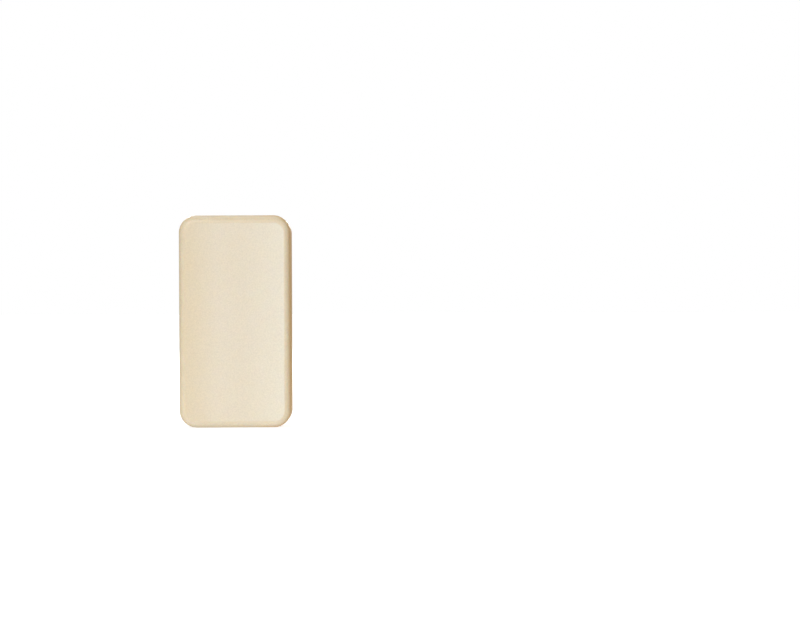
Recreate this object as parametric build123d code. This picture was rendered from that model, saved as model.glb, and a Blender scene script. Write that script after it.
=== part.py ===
"""A double-nine domino tile: an ivory block standing on its short end, with enamelled pips.

+X runs across the width, +Y points out of the numbered face and +Z runs up the length.
The plain back faces -Y. The origin is at the middle of the bottom end. Sizes are in millimetres.
"""

from build123d import *
import os

# Block
LENGTH = 48.0
WIDTH = 25.2
THICKNESS = 9.5
CORNER_RADIUS = 3.9
BACK_EDGE_RADIUS = 1.7
FACE_EDGE_RADIUS = 1.3

# Pips: a three by three grid on each half of the face
PIP_DIAMETER = 5.4
PIP_PITCH_ACROSS = 7.3
PIP_PITCH_ALONG = 6.8
GRID_CENTRE_FROM_DIVIDER = 12.7

# One pip recess, as depths below the face: a short straight wall, a dish and a drill point
PIP_WALL_DEPTH = 0.32
PIP_DISH_DEPTH = 0.90
PIP_POINT_DEPTH = 1.12
PIP_POINT_RADIUS = 0.55

# The pip's enamel coat: it lines the recess and creeps a little up its wall
COAT_EDGE_DEPTH = 0.10
COAT_DISH_DEPTH = 0.70
COAT_POINT_DEPTH = 0.84
COAT_POINT_RADIUS = 0.45

# Divider: a shallow groove, nearly full of enamel
DIVIDER_LENGTH = 21.5
DIVIDER_WIDTH = 2.5
DIVIDER_END_RADIUS = 0.35
GROOVE_DEPTH = 0.60
DIVIDER_ENAMEL_DEPTH = 0.16

# How far a cutting tool runs past the face
CUT_CLEARANCE = 1.0

FACE_Y = THICKNESS / 2
BACK_Y = -THICKNESS / 2
MIDDLE_Z = LENGTH / 2

HALVES = {"upper": 1, "lower": -1}
ROWS = {"outer": 1, "middle": 0, "inner": -1}
# Left and right as seen by someone who looks at the numbered face
COLUMNS = {"left": 1, "centre": 0, "right": -1}


def dish_profile(start, wall_depth, dish_depth, point_depth, point_radius):
    """The line down a recess, from a point on its wall to its axis: wall, dish arc, drill point.

    It is drawn in the XY plane, with the depth below the face along -Y.
    """
    rim = (PIP_DIAMETER / 2, -wall_depth)
    point_edge = (point_radius, -dish_depth)
    tip = (0, -point_depth)
    dish = TangentArc(point_edge, rim, tangent=(1, 0))
    lines = [dish, Line(point_edge, tip)]
    if wall_depth > start:
        lines.append(Line((PIP_DIAMETER / 2, -start), rim))
    return lines


def turned(lines):
    """A solid of revolution about the Y axis from a closed set of lines."""
    return revolve(make_face(lines), axis=Axis.Y)


def pip_recess():
    """The space that the drill removes, reaching past the face."""
    top = CUT_CLEARANCE
    lines = dish_profile(
        -top, PIP_WALL_DEPTH, PIP_DISH_DEPTH, PIP_POINT_DEPTH, PIP_POINT_RADIUS
    )
    lines.append(Line((PIP_DIAMETER / 2, top), (0, top)))
    lines.append(Line((0, top), (0, -PIP_POINT_DEPTH)))
    return turned(lines)


def pip_enamel():
    """The enamel that lines a recess: its underside is the recess, its top a shallower dish."""
    under = dish_profile(
        COAT_EDGE_DEPTH,
        PIP_WALL_DEPTH,
        PIP_DISH_DEPTH,
        PIP_POINT_DEPTH,
        PIP_POINT_RADIUS,
    )
    top = dish_profile(
        COAT_EDGE_DEPTH,
        COAT_EDGE_DEPTH,
        COAT_DISH_DEPTH,
        COAT_POINT_DEPTH,
        COAT_POINT_RADIUS,
    )
    closing = Line((0, -PIP_POINT_DEPTH), (0, -COAT_POINT_DEPTH))
    return turned(under + top + [closing])


def bar(near_depth, far_depth):
    """A flat bar the shape of the divider, between two depths below the face."""
    outline = RectangleRounded(DIVIDER_LENGTH, DIVIDER_WIDTH, DIVIDER_END_RADIUS)
    plane = Plane(
        origin=(0, FACE_Y - far_depth, MIDDLE_Z), x_dir=(1, 0, 0), z_dir=(0, 1, 0)
    )
    return extrude(plane * outline, amount=far_depth - near_depth)


def pip_places():
    """Each pip's name and its place on the face."""
    places = {}
    for half, up in HALVES.items():
        for row, out in ROWS.items():
            for column, side in COLUMNS.items():
                from_divider = GRID_CENTRE_FROM_DIVIDER + out * PIP_PITCH_ALONG
                z = MIDDLE_Z + up * from_divider
                places[f"pip_{half}_{row}_{column}"] = Pos(
                    side * PIP_PITCH_ACROSS, FACE_Y, z
                )
    return places


def block():
    """The plain tile: a rounded slab with softened edges all round, before any recess."""
    outline = RectangleRounded(WIDTH, LENGTH, CORNER_RADIUS)
    plane = Plane(origin=(0, BACK_Y, MIDDLE_Z), x_dir=(1, 0, 0), z_dir=(0, 1, 0))
    slab = extrude(plane * outline, amount=THICKNESS)
    back_edges = slab.faces().sort_by(Axis.Y)[0].edges()
    slab = fillet(back_edges, BACK_EDGE_RADIUS)
    face_edges = slab.faces().sort_by(Axis.Y)[-1].edges()
    return fillet(face_edges, FACE_EDGE_RADIUS)


def tile_body(places):
    """The block with the divider's groove and the pip recesses cut into its face."""
    cuts = [bar(-CUT_CLEARANCE, GROOVE_DEPTH)]
    for place in places.values():
        cuts.append(place * pip_recess())
    return block() - cuts


def write(shape, name):
    shape.label = name
    export_step(shape, f"parts/{name}.step")


os.makedirs("parts", exist_ok=True)
pips = pip_places()
write(tile_body(pips), "tile_body")
write(bar(DIVIDER_ENAMEL_DEPTH, GROOVE_DEPTH), "divider_enamel")
for name, place in pips.items():
    write(place * pip_enamel(), name)
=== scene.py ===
"""A double-nine domino tile standing on its short end, its plain back towards the camera.

Everything is in metres in the part's frame: +X across the tile, +Y out of the numbered face,
+Z up its length. The tile's body and each charge of enamel are rebuilt here as dense meshes
that stand for the CAD nodes of the same shape.
"""

import math

import bmesh
import bpy
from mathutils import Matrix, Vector, noise
from mathutils.geometry import delaunay_2d_cdt

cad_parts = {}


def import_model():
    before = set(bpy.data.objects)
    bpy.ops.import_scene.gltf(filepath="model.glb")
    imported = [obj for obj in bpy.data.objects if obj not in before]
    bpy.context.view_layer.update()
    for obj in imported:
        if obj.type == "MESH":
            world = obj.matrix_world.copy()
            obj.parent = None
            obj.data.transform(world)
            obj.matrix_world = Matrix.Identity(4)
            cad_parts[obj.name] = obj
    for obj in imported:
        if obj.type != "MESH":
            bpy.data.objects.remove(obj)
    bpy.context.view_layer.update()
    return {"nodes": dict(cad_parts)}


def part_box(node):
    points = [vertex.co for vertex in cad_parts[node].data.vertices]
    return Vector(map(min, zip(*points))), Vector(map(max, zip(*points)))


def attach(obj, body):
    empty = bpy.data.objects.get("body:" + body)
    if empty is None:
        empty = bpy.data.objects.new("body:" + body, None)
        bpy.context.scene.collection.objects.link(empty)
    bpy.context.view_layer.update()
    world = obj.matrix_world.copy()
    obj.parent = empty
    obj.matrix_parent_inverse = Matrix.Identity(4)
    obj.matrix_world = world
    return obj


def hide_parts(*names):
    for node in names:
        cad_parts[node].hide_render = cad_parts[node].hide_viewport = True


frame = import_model()

MM = 0.001

# The block's roundings and the depths of recesses and enamel, as the CAD model has them
CORNER_RADIUS = 3.9 * MM
BACK_EDGE_RADIUS = 1.7 * MM
FACE_EDGE_RADIUS = 1.3 * MM
PIP_WALL_DEPTH = 0.32 * MM
PIP_DISH_DEPTH = 0.90 * MM
PIP_POINT_DEPTH = 1.12 * MM
PIP_POINT_RADIUS = 0.55 * MM
COAT_EDGE_DEPTH = 0.10 * MM
COAT_DISH_DEPTH = 0.70 * MM
COAT_POINT_DEPTH = 0.84 * MM
COAT_POINT_RADIUS = 0.45 * MM
DIVIDER_END_RADIUS = 0.35 * MM

# Finish that only the visible model has: softened rims, an uneven skin, and enamel that
# bites a little into its recess, creeps up the wall as a lip and sinks behind it
RIM_SOFTENING = 0.07 * MM
SURFACE_RELIEF = 0.012 * MM
ENAMEL_BITE = 0.012 * MM
LIP_WIDTH = 0.16 * MM
DIVIDER_SINK = 0.10 * MM
DIVIDER_RIPPLE = 0.03 * MM

# Mesh density
OUTLINE_SPACING = 0.55 * MM
FLAT_SPACING = 0.7 * MM
CORNER_STEPS = 16
ROUNDING_STEPS = 12
WALL_STEPS = 10
PIP_STEPS = 64
DISH_STEPS = 9
POINT_STEPS = 5
RIM_STEPS = 3
PIP_LIP_STEPS = 4
DIVIDER_LIP_STEPS = 5
DIVIDER_CORNER_STEPS = 6

# An edge turned by more degrees than this is shaded as a crease
IVORY_CREASE = 35
ENAMEL_CREASE = 60

TILE_LOW, TILE_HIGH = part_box("tile_body")
CENTRE = (TILE_LOW + TILE_HIGH) / 2
HALF = (TILE_HIGH - TILE_LOW) / 2
BACK_Y = TILE_LOW.y
FACE_Y = TILE_HIGH.y
PIP_NODES = sorted(name for name in frame["nodes"] if name.startswith("pip_"))


# ---------------------------------------------------------------- outlines and rings


def rounded_outline(half_x, half_z, radius, spacing, corner_steps):
    """Points round a rounded rectangle about (0, 0), anticlockwise, each with its normal."""
    points = []
    quadrants = [(1, 1), (-1, 1), (-1, -1), (1, -1)]
    for number, (side, up) in enumerate(quadrants):
        middle = Vector((side * (half_x - radius), up * (half_z - radius)))
        for step in range(corner_steps + 1):
            angle = math.radians(90 * (number + step / corner_steps))
            normal = Vector((math.cos(angle), math.sin(angle)))
            points.append((middle + normal * radius, normal))
        # The straight side up to the next corner has the normal that this corner ends on
        next_side, next_up = quadrants[(number + 1) % 4]
        next_middle = Vector((next_side * (half_x - radius), next_up * (half_z - radius)))
        start = points[-1][0]
        end = next_middle + normal * radius
        pieces = max(1, math.ceil((end - start).length / spacing))
        for piece in range(1, pieces):
            points.append((start.lerp(end, piece / pieces), normal))
    return points


def circle_outline(steps):
    """An outline of radius 0 that ring() moves out to a circle, anticlockwise."""
    points = []
    for step in range(steps):
        angle = 2 * math.pi * step / steps
        normal = Vector((math.cos(angle), math.sin(angle)))
        points.append((Vector((0, 0)), normal))
    return points


def box_distance(point, half_x, half_z, radius):
    """How far a point is outside a rounded rectangle about (0, 0), negative inside it."""
    out_x = abs(point.x) - (half_x - radius)
    out_z = abs(point.y) - (half_z - radius)
    outside = Vector((max(out_x, 0), max(out_z, 0))).length
    return outside + min(max(out_x, out_z), 0) - radius


def ring(mesh, outline, offset, y, middle):
    """A ring of vertices: the outline about a middle, moved out along its normals, at y."""
    made = []
    for point, normal in outline:
        place = point + normal * offset
        made.append(mesh.verts.new((middle.x + place.x, y, middle.z + place.y)))
    return made


def bridge(mesh, first, second):
    """A band of quads between two rings of the same count."""
    count = len(first)
    for here in range(count):
        after = (here + 1) % count
        mesh.faces.new((first[here], first[after], second[after], second[here]))


def skin(mesh, rings):
    """Bands of quads along a row of rings."""
    for first, second in zip(rings, rings[1:]):
        bridge(mesh, first, second)


def cap(mesh, last, tip):
    """A fan of triangles from a ring to one vertex."""
    count = len(last)
    for here in range(count):
        mesh.faces.new((last[here], last[(here + 1) % count], tip))


def fill(mesh, outer, holes, inside, spacing):
    """Fills the flat between a ring and its holes with even triangles.

    inside(point) is the distance to the flat's nearest edge in the XZ plane, positive on it.
    """
    y = outer[0].co.y
    rings = [outer] + holes
    placed = [vertex for loop in rings for vertex in loop]
    edges = []
    start = 0
    for loop in rings:
        count = len(loop)
        edges += [(start + n, start + (n + 1) % count) for n in range(count)]
        start += count
    low_x = min(v.co.x for v in outer)
    high_x = max(v.co.x for v in outer)
    low_z = min(v.co.z for v in outer)
    high_z = max(v.co.z for v in outer)
    row_height = spacing * math.sqrt(3) / 2
    margin = 0.45 * spacing
    for row in range(1, int((high_z - low_z) / row_height) + 1):
        z = low_z + row * row_height
        x = low_x + spacing * (0.5 if row % 2 else 1.0)
        while x < high_x:
            if inside(Vector((x, z))) > margin:
                placed.append(mesh.verts.new((x, y, z)))
            x += spacing
    flat = [Vector((v.co.x, v.co.z)) for v in placed]
    within_edges = 1
    nearness = 1e-9
    corners, _, triangles, origins, _, _ = delaunay_2d_cdt(
        flat, edges, [], within_edges, nearness
    )
    for triangle in triangles:
        middle = sum((corners[n] for n in triangle), Vector((0, 0))) / 3
        if inside(middle) > 0:
            mesh.faces.new([placed[origins[n][0]] for n in triangle])


def quarter(steps):
    """(along, across) of a quarter circle of radius 1, from (0, 0) to (1, 1)."""
    turns = [math.pi / 2 * step / steps for step in range(steps + 1)]
    return [(math.sin(turn), 1 - math.cos(turn)) for turn in turns]


# ---------------------------------------------------------------- profiles


def dish(wall_depth, dish_depth, radius, point_depth, point_radius):
    """(radius, depth) down a recess: from its wall round the bowl to the drill point."""
    reach = radius - point_radius
    drop = dish_depth - wall_depth
    bowl = (reach ** 2 + drop ** 2) / (2 * drop)
    whole = math.asin(reach / bowl)
    profile = []
    for step in range(DISH_STEPS + 1):
        turn = whole * (1 - step / DISH_STEPS)
        across = point_radius + bowl * math.sin(turn)
        profile.append((across, dish_depth - bowl * (1 - math.cos(turn))))
    for step in range(1, POINT_STEPS):
        share = step / POINT_STEPS
        eased = dish_depth + (point_depth - dish_depth) * share ** 0.8
        profile.append((point_radius * (1 - share), eased))
    return profile


def recess_profile(radius):
    """(radius, depth) of a pip recess: softened rim, wall, dish and drill point."""
    profile = []
    for along, across in quarter(RIM_STEPS):
        profile.append((radius + RIM_SOFTENING * (1 - along), RIM_SOFTENING * across))
    part_way_down = 0.6 * PIP_WALL_DEPTH
    profile.append((radius, part_way_down))
    return profile + dish(
        PIP_WALL_DEPTH, PIP_DISH_DEPTH, radius, PIP_POINT_DEPTH, PIP_POINT_RADIUS
    )


def coat_profile(radius):
    """(radius, depth) of the enamel's top: a lip as tall as it is wide, then the bowl."""
    bowl = dish(
        COAT_EDGE_DEPTH + LIP_WIDTH,
        COAT_DISH_DEPTH,
        radius - LIP_WIDTH,
        COAT_POINT_DEPTH,
        COAT_POINT_RADIUS,
    )
    lip = []
    for step in range(PIP_LIP_STEPS):
        share = step / PIP_LIP_STEPS
        lip.append((radius - LIP_WIDTH * share, COAT_EDGE_DEPTH + LIP_WIDTH * share ** 0.6))
    return lip + bowl


# ---------------------------------------------------------------- pieces


def finished(mesh, name, node, material, crease):
    """Turns a bmesh into the piece that stands for a CAD node."""
    bmesh.ops.recalc_face_normals(mesh, faces=mesh.faces)
    for face in mesh.faces:
        face.smooth = True
    for edge in mesh.edges:
        if edge.calc_face_angle(0) > math.radians(crease):
            edge.smooth = False
    data = bpy.data.meshes.new(name)
    mesh.to_mesh(data)
    mesh.free()
    piece = bpy.data.objects.new(name, data)
    bpy.context.scene.collection.objects.link(piece)
    data.materials.append(material)
    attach(piece, "root")
    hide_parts(node)


def weathered(mesh, amount):
    """Presses the surface in unevenly, as moulding and tumbling leave it."""
    broad_scale = 160
    fine_scale = 900
    fine_share = 0.06
    elsewhere = Vector((7, 3, 5))
    bmesh.ops.recalc_face_normals(mesh, faces=mesh.faces)
    mesh.normal_update()
    for vertex in mesh.verts:
        broad = noise.noise(vertex.co * broad_scale)
        fine = noise.noise(vertex.co * fine_scale + elsewhere)
        push = amount * min(1, max(0, 0.5 + 0.5 * broad + fine_share * fine))
        vertex.co -= vertex.normal * push


def enamel_box(node):
    """The middle and the half sizes of an enamel node."""
    low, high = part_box(node)
    return (low + high) / 2, (high - low) / 2


def block_sections():
    """(offset, y) of the block's rings, from the edge of its back to the edge of its face."""
    sections = []
    for along, across in quarter(ROUNDING_STEPS):
        inset = BACK_EDGE_RADIUS * (1 - along)
        sections.append((-inset, BACK_Y + BACK_EDGE_RADIUS * across))
    wall_start = BACK_Y + BACK_EDGE_RADIUS
    wall_end = FACE_Y - FACE_EDGE_RADIUS
    for step in range(1, WALL_STEPS):
        sections.append((0, wall_start + (wall_end - wall_start) * step / WALL_STEPS))
    for along, across in reversed(quarter(ROUNDING_STEPS)):
        inset = FACE_EDGE_RADIUS * (1 - along)
        sections.append((-inset, FACE_Y - FACE_EDGE_RADIUS * across))
    return sections


def flat_edge(inset):
    """A function for how far a point is inside the flat that a rounding this wide leaves."""
    spot = Vector((CENTRE.x, CENTRE.z))
    sizes = (HALF.x - inset, HALF.z - inset, CORNER_RADIUS - inset)
    return lambda point: -box_distance(point - spot, *sizes)


def pip_recess(mesh, node):
    """A drilled dish: gives its rim, and a function for how far a point is outside it."""
    middle, half = enamel_box(node)
    circle = circle_outline(PIP_STEPS)
    loops = [
        ring(mesh, circle, radius, FACE_Y - depth, middle)
        for radius, depth in recess_profile(half.x)
    ]
    skin(mesh, loops)
    tip = mesh.verts.new((middle.x, FACE_Y - PIP_POINT_DEPTH, middle.z))
    cap(mesh, loops[-1], tip)
    spot = Vector((middle.x, middle.z))
    return loops[0], lambda point: (point - spot).length - half.x - RIM_SOFTENING


def bar_distance(grow):
    """A function for how far a point is outside the divider's bar, grown by this much."""
    middle, half = enamel_box("divider_enamel")
    spot = Vector((middle.x, middle.z))
    sizes = (half.x + grow, half.z + grow, DIVIDER_END_RADIUS + grow)
    return lambda point: box_distance(point - spot, *sizes)


def within_bar(grow):
    """A function for how far a point is inside the divider's bar, grown by this much."""
    outside = bar_distance(grow)
    return lambda point: -outside(point)


def bar_outline(spacing):
    """The outline of the divider's bar and its middle."""
    middle, half = enamel_box("divider_enamel")
    bar = rounded_outline(half.x, half.z, DIVIDER_END_RADIUS, spacing, DIVIDER_CORNER_STEPS)
    return bar, middle


def divider_groove(mesh):
    """The divider's groove: gives its rim, and a function for how far a point is outside it."""
    groove_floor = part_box("divider_enamel")[0].y
    bar, middle = bar_outline(OUTLINE_SPACING)
    loops = []
    for along, across in quarter(RIM_STEPS):
        offset = RIM_SOFTENING * (1 - along)
        loops.append(ring(mesh, bar, offset, FACE_Y - RIM_SOFTENING * across, middle))
    loops.append(ring(mesh, bar, 0, groove_floor, middle))
    skin(mesh, loops)
    fill(mesh, loops[-1], [], within_bar(0), FLAT_SPACING)
    return loops[0], bar_distance(RIM_SOFTENING)


def body_piece(material):
    """The ivory block: its roundings, flat back, and face with the recesses and groove."""
    mesh = bmesh.new()
    outline = rounded_outline(HALF.x, HALF.z, CORNER_RADIUS, OUTLINE_SPACING, CORNER_STEPS)
    rings = [ring(mesh, outline, offset, y, CENTRE) for offset, y in block_sections()]
    skin(mesh, rings)
    fill(mesh, rings[0], [], flat_edge(BACK_EDGE_RADIUS), FLAT_SPACING)

    recesses = [pip_recess(mesh, node) for node in PIP_NODES] + [divider_groove(mesh)]
    holes = [rim for rim, _ in recesses]
    keep_off = [flat_edge(FACE_EDGE_RADIUS)] + [distance for _, distance in recesses]

    def on_face(point):
        """How far a point is from the nearest edge of the face's flat."""
        return min(distance(point) for distance in keep_off)

    fill(mesh, rings[-1], holes, on_face, FLAT_SPACING)
    weathered(mesh, SURFACE_RELIEF)
    finished(mesh, "ivory_block", "tile_body", material, IVORY_CREASE)


def pip_piece(node, material):
    """One charge of enamel: a closed shell between the recess and its own shallower bowl."""
    middle, half = enamel_box(node)
    rim = half.x + ENAMEL_BITE
    top = coat_profile(rim)
    under = [(rim, PIP_WALL_DEPTH)]
    under += dish(
        PIP_WALL_DEPTH, PIP_DISH_DEPTH, half.x, PIP_POINT_DEPTH, PIP_POINT_RADIUS
    )
    mesh = bmesh.new()
    circle = circle_outline(PIP_STEPS)
    loops = [
        ring(mesh, circle, radius, FACE_Y - depth, middle)
        for radius, depth in list(reversed(top)) + under
    ]
    skin(mesh, loops)
    cap(mesh, loops[0], mesh.verts.new((middle.x, FACE_Y - COAT_POINT_DEPTH, middle.z)))
    cap(mesh, loops[-1], mesh.verts.new((middle.x, FACE_Y - PIP_POINT_DEPTH, middle.z)))
    finished(mesh, node + "_paint", node, material, ENAMEL_CREASE)


def divider_piece(material):
    """The bar of enamel: sunk below the face, with a lip where it wets the groove's wall."""
    low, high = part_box("divider_enamel")
    bar, middle = bar_outline(OUTLINE_SPACING / 2)
    mesh = bmesh.new()
    loops = [ring(mesh, bar, ENAMEL_BITE, low.y, middle)]
    for step in range(DIVIDER_LIP_STEPS + 1):
        share = step / DIVIDER_LIP_STEPS
        offset = ENAMEL_BITE - (LIP_WIDTH + ENAMEL_BITE) * share
        y = high.y - DIVIDER_SINK * math.sqrt(share)
        loops.append(ring(mesh, bar, offset, y, middle))
    skin(mesh, loops)
    fill(mesh, loops[0], [], within_bar(ENAMEL_BITE), FLAT_SPACING / 2)
    fill(mesh, loops[-1], [], within_bar(-LIP_WIDTH), FLAT_SPACING / 2)

    # The top ripples, less and less up the lip and not at all on its rim
    ripple_scale = 500
    inside = within_bar(0)
    below_top = high.y - 1.01 * DIVIDER_SINK
    for vertex in mesh.verts:
        if vertex.co.y > below_top:
            inward = min(1, inside(Vector((vertex.co.x, vertex.co.z))) / LIP_WIDTH)
            ripple = 0.5 + 0.5 * noise.noise(vertex.co * ripple_scale)
            vertex.co.y -= max(0, inward) * DIVIDER_RIPPLE * ripple
    finished(
        mesh, "divider_paint", "divider_enamel", material, ENAMEL_CREASE
    )


# ---------------------------------------------------------------- materials


class Nodes:
    """A material's node tree, with short calls that add a node and give its output."""

    def __init__(self, name):
        self.material = bpy.data.materials.new(name)
        self.material.use_nodes = True
        self.tree = self.material.node_tree
        self.tree.nodes.clear()
        self.output = self.tree.nodes.new("ShaderNodeOutputMaterial")

    def add(self, kind, inputs=None, **settings):
        node = self.tree.nodes.new("ShaderNode" + kind)
        for key, value in settings.items():
            setattr(node, key, value)
        for key, value in (inputs or {}).items():
            if isinstance(value, bpy.types.NodeSocket):
                self.tree.links.new(value, node.inputs[key])
            else:
                node.inputs[key].default_value = value
        return node

    def place(self):
        return self.add("TexCoord").outputs["Object"]

    def noise(self, place, scale, detail=2.0, roughness=0.5, distortion=0.0):
        inputs = {
            "Vector": place,
            "Scale": scale,
            "Detail": detail,
            "Roughness": roughness,
            "Distortion": distortion,
        }
        return self.add("TexNoise", inputs).outputs["Fac"]

    def remap(self, value, low, high, to_low=0.0, to_high=1.0):
        inputs = {
            "Value": value,
            "From Min": low,
            "From Max": high,
            "To Min": to_low,
            "To Max": to_high,
        }
        return self.add("MapRange", inputs).outputs["Result"]

    def math(self, operation, first, second=0.0):
        return self.add("Math", {0: first, 1: second}, operation=operation).outputs[0]

    def vector(self, operation, first, second=(0, 0, 0)):
        return self.add("VectorMath", {0: first, 1: second}, operation=operation).outputs[0]

    def between(self, factor, first, second):
        """The first number where the factor is 0, the second where it is 1."""
        inputs = {0: factor, 2: first, 3: second}
        return self.add("Mix", inputs, data_type="FLOAT").outputs[0]

    def mix(self, factor, first, second, blend="MIX"):
        """The first colour where the factor is 0, the second, or the blend, where it is 1."""
        node = self.add("Mix", data_type="RGBA", blend_type=blend)
        for socket, value in ((0, factor), (6, first), (7, second)):
            if isinstance(value, bpy.types.NodeSocket):
                self.tree.links.new(value, node.inputs[socket])
            elif isinstance(value, (int, float)):
                node.inputs[socket].default_value = value
            else:
                node.inputs[socket].default_value = (*value, 1.0)
        return node.outputs[2]

    def finish(self, shader):
        self.tree.links.new(shader, self.output.inputs["Surface"])
        return self.material


def flat_mask(n, place, inset, soft, shift_x=0.0, shift_z=0.0):
    """1 on the flat that an edge rounding of this size leaves, 0 beyond it, seen along Y."""
    reach = Vector((HALF.x - CORNER_RADIUS, 0, HALF.z - CORNER_RADIUS))
    middle = Vector((CENTRE.x + shift_x, 0, CENTRE.z + shift_z))
    uneven = 0.12 * MM
    wobble = n.remap(n.noise(place, scale=300), 0.0, 1.0, -uneven, uneven)
    flattened = n.vector("MULTIPLY", place, (1, 0, 1))
    from_middle = n.vector("SUBTRACT", flattened, middle)
    folded = n.vector("ABSOLUTE", from_middle)
    past = n.vector("SUBTRACT", folded, reach)
    beyond = n.vector("MAXIMUM", past)
    outside = n.add("VectorMath", {0: beyond}, operation="LENGTH").outputs["Value"]
    split = n.add("SeparateXYZ", {0: past}).outputs
    within = n.math("MINIMUM", n.math("MAXIMUM", split["X"], split["Z"]), 0.0)
    distance = n.math("ADD", n.math("ADD", outside, within), wobble)
    edge = CORNER_RADIUS - inset
    return n.remap(distance, edge - 0.2 * soft, edge + 0.8 * soft, 1.0, 0.0)


def ivory_material():
    """Moulded ivory plastic: its flats are painted paler than its deeper edges, a painted sheen,
    and its walls deeper, a painted shade.
    """
    n = Nodes("ivory_plastic")
    place = n.place()
    where = n.add("SeparateXYZ", {0: place}).outputs
    facing = n.add("SeparateXYZ", {0: n.add("TexCoord").outputs["Normal"]}).outputs["Y"]
    broad = n.noise(place, scale=60)
    clouds = n.noise(place, scale=420, detail=3, roughness=0.55, distortion=0.3)
    grain = n.noise(place, scale=3000, detail=3, roughness=0.7)
    soft = 0.3 * MM

    # Painted sheen: the back's flat is painted paler than its rounding, most towards +X; that
    # fades out towards -X, and painted light runs on round the foot
    edge = (0.785, 0.668, 0.476)
    faint_sheen = (0.825, 0.735, 0.585)
    pale = (0.865, 0.80, 0.665)
    sheen_colour = n.mix(n.remap(where["X"], 2 * MM, 11.5 * MM), faint_sheen, pale)
    # The painted sheen's mask, moved a little off centre to set where its edge falls
    flat = flat_mask(
        n, place, BACK_EDGE_RADIUS, soft, shift_x=0.18 * MM, shift_z=-0.20 * MM
    )
    # Painted sheen only on the back's flat, fading out towards -X
    back = n.math("MULTIPLY", flat, n.remap(where["X"], -11 * MM, -4 * MM))
    # Painted light: within about 2 mm of the bottom end the back's colour is painted paler,
    # towards the sheen colour
    foot_light = n.remap(where["Z"], 2.2 * MM, 1.2 * MM, 0.0, 0.65)
    back_colour = n.mix(n.math("MAXIMUM", back, foot_light), edge, sheen_colour)

    # The numbered face's flat has a deeper cream than the back's
    face_ground = (0.83, 0.67, 0.485)
    face = flat_mask(n, place, FACE_EDGE_RADIUS, soft)
    face_colour = n.mix(face, edge, face_ground)
    colour = n.mix(n.remap(facing, -0.2, 0.2), back_colour, face_colour)

    # Painted shade: the side walls are painted deeper and warmer than the rest, and the +X wall
    # much deeper still, a painted shadow on the side the light doesn't reach
    wall_shade_colour = (0.78, 0.64, 0.42)
    wall_shadow = (0.75, 0.45, 0.15)
    level = n.math("ABSOLUTE", facing)
    wall = n.remap(level, 0.20, 0.85, 1.0, 0.0)
    # Painted shadow deepening the walls from X 4 mm to 11 mm towards +X
    shadow_side = n.remap(where["X"], 4 * MM, 11 * MM)
    colour = n.mix(wall, colour, n.mix(shadow_side, wall_shade_colour, wall_shadow))

    # Handling has rubbed the roundings lighter and smoother in patches
    worn = (0.88, 0.79, 0.61)
    band = n.math("MULTIPLY", n.remap(level, 0.60, 0.85), n.remap(level, 0.998, 0.95))
    rubbed = n.math("MULTIPLY", band, n.remap(clouds, 0.40, 0.62))
    colour = n.mix(n.math("MULTIPLY", rubbed, 0.3), colour, worn)

    # Cloudy warmth and a fine grain run through all of it
    warm_tint = (1.0, 0.985, 0.93)
    warmth = n.math("ADD", broad, n.math("MULTIPLY", clouds, 0.8))
    cream = n.mix(1.0, colour, warm_tint, "MULTIPLY")
    colour = n.mix(n.remap(warmth, 0.7, 1.1, 0.0, 0.35), colour, cream)
    light = n.remap(grain, 0.3, 0.7, 0.88, 1.0)
    grey = n.add("CombineXYZ", {0: light, 1: light, 2: light}).outputs[0]
    colour = n.mix(1.0, colour, grey, "MULTIPLY")

    # Hairline scuffs, mostly along the tile, catch the light as it turns
    scuff_scale = (2600, 2600, 130)
    stretched = n.vector("MULTIPLY", place, scuff_scale)
    scuffs = n.remap(n.noise(stretched, scale=1.0, distortion=0.4), 0.66, 0.74)

    # The flats are satin, the rubbed patches a little smoother, scuffs and walls rougher
    rubbed_roughness = 0.29
    scuff_roughness = 0.12
    wall_roughness = 0.5
    satin = n.remap(clouds, 0.2, 0.8, 0.30, 0.35)
    satin = n.between(rubbed, satin, rubbed_roughness)
    roughness = n.math("ADD", satin, n.math("MULTIPLY", scuffs, scuff_roughness))
    roughness = n.between(wall, roughness, wall_roughness)

    height = n.math("ADD", n.math("MULTIPLY", grain, 0.2), clouds)
    height = n.math("SUBTRACT", height, n.math("MULTIPLY", scuffs, 0.15))
    bump = n.add("Bump", {"Height": height, "Strength": 1.0, "Distance": 0.012 * MM})
    shader = n.add(
        "BsdfPrincipled",
        {
            "Base Color": colour,
            "Roughness": roughness,
            "Normal": bump.outputs["Normal"],
            "Subsurface Weight": 0.3,
            "Subsurface Radius": (1.0, 0.6, 0.28),
            "Subsurface Scale": 1.2 * MM,
            "IOR": 1.5,
        },
    )
    return n.finish(shader.outputs["BSDF"])


def enamel_material():
    """Glossy black enamel with a slight ripple and a little pale dust."""
    n = Nodes("black_enamel")
    place = n.place()
    ripple = n.noise(place, scale=900)
    dust = n.noise(place, scale=5200, roughness=0.6)
    black = (0.008, 0.008, 0.009)
    dusty = (0.06, 0.055, 0.05)
    colour = n.mix(n.remap(dust, 0.62, 0.8), black, dusty)
    roughness = n.remap(ripple, 0.3, 0.7, 0.1, 0.2)
    bump = n.add("Bump", {"Height": ripple, "Strength": 0.4, "Distance": 0.02 * MM})
    shader = n.add(
        "BsdfPrincipled",
        {
            "Base Color": colour,
            "Roughness": roughness,
            "Normal": bump.outputs["Normal"],
            "IOR": 1.52,
        },
    )
    return n.finish(shader.outputs["BSDF"])


# ---------------------------------------------------------------- the stage


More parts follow.
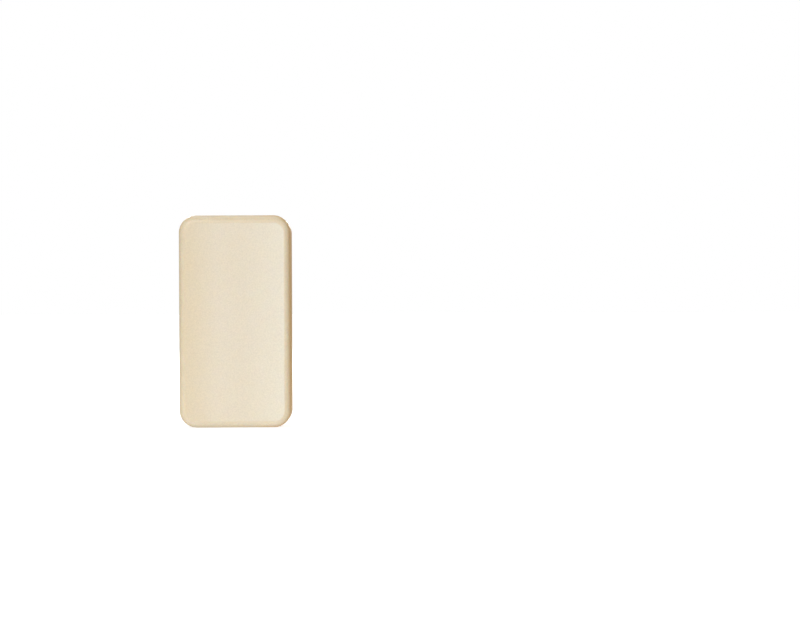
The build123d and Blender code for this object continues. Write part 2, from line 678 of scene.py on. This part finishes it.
def floor_material():
    """Pale and matt, and lit from within: white to the lens, but dim as light on the tile."""
    n = Nodes("pale_floor")
    away = n.add("VectorMath", {0: n.place()}, operation="LENGTH").outputs["Value"]
    to_lens = n.remap(away, 0.03, 0.15, 0.75, 1.0)
    seen = n.add("LightPath").outputs["Is Camera Ray"]
    to_tile = n.remap(away, 0.05, 0.20, 0.40, 0.0)
    shader = n.add(
        "BsdfPrincipled",
        {
            "Base Color": (0.45, 0.45, 0.45, 1),
            "Roughness": 0.8,
            "Specular IOR Level": 0.1,
            "Emission Color": (1, 1, 1, 1),
            "Emission Strength": n.between(seen, to_tile, to_lens),
        },
    )
    return n.finish(shader.outputs["BSDF"])


def floor_piece():
    """A pale floor disc, wide enough to run out of every view."""
    radii = (0.03, 0.06, 0.12, 0.25, 0.5, 1.0, 2.0, 4.0)
    circle = circle_outline(96)
    origin = Vector((0, 0, 0))
    mesh = bmesh.new()
    loops = [ring(mesh, circle, radius, 0, origin) for radius in radii]
    skin(mesh, loops)
    cap(mesh, loops[0], mesh.verts.new(origin))
    for vertex in mesh.verts:
        vertex.co = Vector((vertex.co.x, vertex.co.z, 0))
    data = bpy.data.meshes.new("floor")
    mesh.to_mesh(data)
    mesh.free()
    floor = bpy.data.objects.new("floor", data)
    bpy.context.scene.collection.objects.link(floor)
    data.materials.append(floor_material())


def softbox(name, direction, distance, size, brightness):
    """A soft white rectangular light that faces the tile; brightness is its radiance.

    The direction is (azimuth, elevation) in degrees, azimuth 0 being at -Y and 90 at +X.
    """
    turn, rise = [math.radians(angle) for angle in direction]
    width, height = size
    away = Vector(
        (
            math.sin(turn) * math.cos(rise),
            -math.cos(turn) * math.cos(rise),
            math.sin(rise),
        )
    )
    light = bpy.data.lights.new(name, "AREA")
    light.shape = "RECTANGLE"
    light.size = width
    light.size_y = height
    light.energy = brightness * math.pi * width * height
    box = bpy.data.objects.new(name, light)
    box.location = CENTRE + away * distance
    box.rotation_euler = (-away).to_track_quat("-Z", "Y").to_euler()
    box.visible_camera = False
    bpy.context.scene.collection.objects.link(box)


def lights():
    """Softboxes round the plain back and overhead, and a near pair that glints in the dishes."""
    softbox("key_light", (-21, 22), distance=1.0, size=(0.50, 0.50), brightness=5.6)
    softbox("front_light", (18, 8), distance=1.0, size=(0.40, 0.40), brightness=4.9)
    softbox("left_light", (-65, 10), distance=1.0, size=(0.40, 0.60), brightness=0.7)
    softbox("top_light", (180, 80), distance=1.0, size=(0.50, 0.50), brightness=2.7)
    softbox("face_light_a", (162, 18), distance=0.60, size=(0.14, 0.14), brightness=17.5)
    softbox("face_light_b", (-160, 30), distance=0.60, size=(0.14, 0.14), brightness=17.5)


def world(ambient):
    """An even white surround: full white to the lens, and of strength ambient as light."""
    scene = bpy.context.scene
    scene.world = bpy.data.worlds.new("surround")
    scene.world.use_nodes = True
    tree = scene.world.node_tree
    background = tree.nodes["Background"]
    background.inputs["Color"].default_value = (1, 1, 1, 1)
    seen = tree.nodes.new("ShaderNodeLightPath").outputs["Is Camera Ray"]
    strength = tree.nodes.new("ShaderNodeMapRange")
    strength.inputs["To Min"].default_value = ambient
    strength.inputs["To Max"].default_value = 1.0
    tree.links.new(seen, strength.inputs["Value"])
    tree.links.new(strength.outputs["Result"], background.inputs["Strength"])


def camera():
    """A camera level with the tile and a little to its +X side, looking almost along +Y."""
    below_level = 0.58
    roll = 0.22
    turned_to_x = 0.81
    lens = bpy.data.cameras.new("camera")
    lens.lens = 75
    lens.clip_start = 0.01
    lens.clip_end = 20
    view = bpy.data.objects.new("camera", lens)
    view.location = (0.0320, -0.3807, 0.0280)
    angles = (90 - below_level, roll, -turned_to_x)
    view.rotation_euler = [math.radians(angle) for angle in angles]
    bpy.context.scene.collection.objects.link(view)
    bpy.context.scene.camera = view


camera()
world(ambient=0.25)
lights()
floor_piece()
bpy.context.scene.view_settings.view_transform = "Standard"

ivory = ivory_material()
enamel = enamel_material()
body_piece(ivory)
divider_piece(enamel)
for node in PIP_NODES:
    pip_piece(node, enamel)
